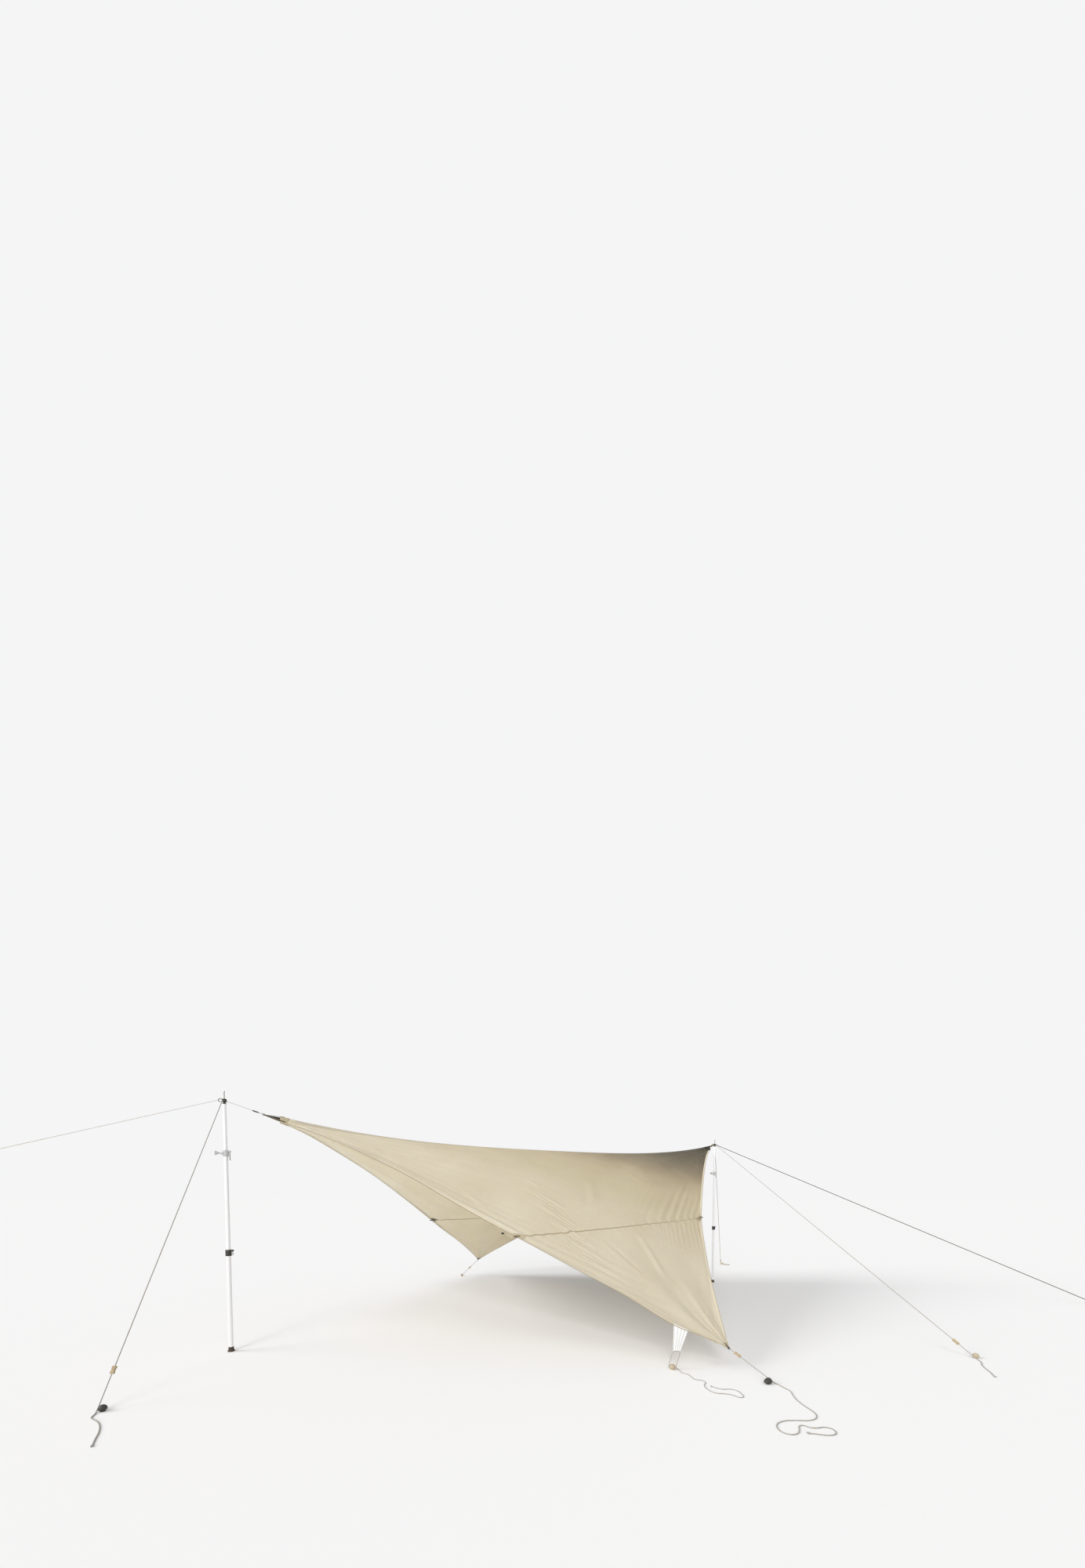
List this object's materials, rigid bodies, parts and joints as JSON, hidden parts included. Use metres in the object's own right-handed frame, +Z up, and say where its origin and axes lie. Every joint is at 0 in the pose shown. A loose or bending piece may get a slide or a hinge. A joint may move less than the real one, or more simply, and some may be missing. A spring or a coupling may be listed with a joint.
{
  "type": "tarp shelter on two telescopic poles",
  "caption": "Square cloth tarp pitched on its diagonal between telescopic poles, with guy lines, line tensioners and ground pegs.",
  "frame": {"origin": "on the ground, midway between the two poles", "axes": "+X along the ridge from the near pole to the far pole, +Y to the far wing, +Z up"},
  "size_m": [9.9135, 5.8151, 2.1153],
  "materials": {
    "cotton_cloth": "woven cotton blend",
    "reinforcing_cloth": "heavy woven cloth",
    "white_webbing": "woven",
    "tan_webbing": "woven",
    "grey_rope": "braided",
    "olive_rope": "braided",
    "anodised_tube": "anodised",
    "black_nylon": "moulded",
    "brown_rubber": "moulded",
    "grey_nylon": "moulded",
    "plated_steel": "plated",
    "beige_nylon": "moulded"
  },
  "bodies": {
    "shelter": {"far_back_line": "grey_rope", "far_back_peg": "beige_nylon", "far_cap": "black_nylon", "far_corner_panel": "cotton_cloth", "far_front_line": "grey_rope", "far_front_peg": "beige_nylon", "far_long_line": "olive_rope", "far_long_peg": "beige_nylon", "far_main_panel": "cotton_cloth", "far_pole_patch": "reinforcing_cloth", "far_seam_end_far": "black_nylon", "far_seam_end_near": "black_nylon", "far_spike": "plated_steel", "far_strap": "tan_webbing", "far_upper_tube": "anodised_tube", "far_wing_line": "grey_rope", "far_wing_patch": "reinforcing_cloth", "far_wing_peg": "beige_nylon", "near_cap": "black_nylon", "near_corner_panel": "cotton_cloth", "near_main_panel": "cotton_cloth", "near_outer_line": "grey_rope", "near_pole_patch": "reinforcing_cloth", "near_seam_end_far": "black_nylon", "near_seam_end_near": "black_nylon", "near_side_line": "grey_rope", "near_side_peg": "beige_nylon", "near_spike": "plated_steel", "near_upper_tube": "anodised_tube", "near_wing_line": "grey_rope", "near_wing_patch": "reinforcing_cloth", "near_wing_peg": "beige_nylon", "near_yoke": "tan_webbing", "ridge_buckle": "black_nylon", "ridge_cord": "tan_webbing", "tab_cord": "grey_rope", "tab_peg": "beige_nylon", "tension_tab": "white_webbing"},
    "near_middle": {"near_middle_tube": "anodised_tube", "near_upper_clamp": "grey_nylon"},
    "near_lower": {"near_foot": "brown_rubber", "near_lower_clamp": "black_nylon", "near_lower_tube": "anodised_tube"},
    "near_lower_lever": {"near_lower_lever": "black_nylon"},
    "near_upper_lever": {"near_upper_lever": "black_nylon"},
    "near_knob": {"near_clamp_knob": "grey_nylon"},
    "far_middle": {"far_middle_tube": "anodised_tube", "far_upper_clamp": "grey_nylon"},
    "far_lower": {"far_foot": "brown_rubber", "far_lower_clamp": "black_nylon", "far_lower_tube": "anodised_tube"},
    "far_lower_lever": {"far_lower_lever": "black_nylon"},
    "far_upper_lever": {"far_upper_lever": "black_nylon"},
    "far_knob": {"far_clamp_knob": "grey_nylon"},
    "near_side_slider": {"near_side_slider": "black_nylon"},
    "far_back_slider": {"far_back_slider": "tan_webbing"},
    "far_front_slider": {"far_front_slider": "tan_webbing"},
    "near_wing_slider": {"near_wing_slider": "tan_webbing"},
    "far_wing_slider": {"far_wing_slider": "tan_webbing"}
  },
  "joints": [
    {"name": "near_middle_slide", "type": "slide", "parent": "shelter", "child": "near_middle", "axis": [0, 0, 1], "range_m": [0, 0.24]},
    {"name": "near_lower_slide", "type": "slide", "parent": "near_middle", "child": "near_lower", "axis": [0, 0, 1], "range_m": [0, 0.65]},
    {"name": "near_lower_lever_hinge", "type": "hinge", "parent": "near_lower", "child": "near_lower_lever", "pos_m": [-2.9292, 0, 0.827], "axis": [0, -1, 0], "range_deg": [0, 120]},
    {"name": "near_upper_lever_hinge", "type": "hinge", "parent": "near_middle", "child": "near_upper_lever", "pos_m": [-2.9308, 0, 1.632], "axis": [0, -1, 0], "range_deg": [0, 120]},
    {"name": "near_knob_turn", "type": "hinge", "parent": "near_middle", "child": "near_knob", "pos_m": [-3.01, 0, 1.615], "axis": [-1, 0, 0], "continuous": true},
    {"name": "far_middle_slide", "type": "slide", "parent": "shelter", "child": "far_middle", "axis": [0, 0, 1], "range_m": [0, 0.24]},
    {"name": "far_lower_slide", "type": "slide", "parent": "far_middle", "child": "far_lower", "axis": [0, 0, 1], "range_m": [0, 0.65]},
    {"name": "far_lower_lever_hinge", "type": "hinge", "parent": "far_lower", "child": "far_lower_lever", "pos_m": [2.9908, 0, 0.827], "axis": [0, -1, 0], "range_deg": [0, 120]},
    {"name": "far_upper_lever_hinge", "type": "hinge", "parent": "far_middle", "child": "far_upper_lever", "pos_m": [2.9892, 0, 1.632], "axis": [0, -1, 0], "range_deg": [0, 120]},
    {"name": "far_knob_turn", "type": "hinge", "parent": "far_middle", "child": "far_knob", "pos_m": [2.91, 0, 1.615], "axis": [-1, 0, 0], "continuous": true},
    {"name": "near_side_slide", "type": "slide", "parent": "shelter", "child": "near_side_slider", "axis": [0.2564, 0.373, 0.8917], "range_m": [-0.1, 0.5]},
    {"name": "far_back_slide", "type": "slide", "parent": "shelter", "child": "far_back_slider", "axis": [-0.5735, -0.3939, 0.7183], "range_m": [-0.02, 0.5]},
    {"name": "far_front_slide", "type": "slide", "parent": "shelter", "child": "far_front_slider", "axis": [0.2359, 0.8189, 0.5232], "range_m": [-0.05, 0.5]},
    {"name": "near_wing_slide", "type": "slide", "parent": "shelter", "child": "near_wing_slider", "axis": [-0.15, 0.8871, 0.4364], "range_m": [-0.15, 0.04]},
    {"name": "far_wing_slide", "type": "slide", "parent": "shelter", "child": "far_wing_slider", "axis": [0.6275, -0.3587, 0.6911], "range_m": [-0.1, 0.12]}
  ]
}
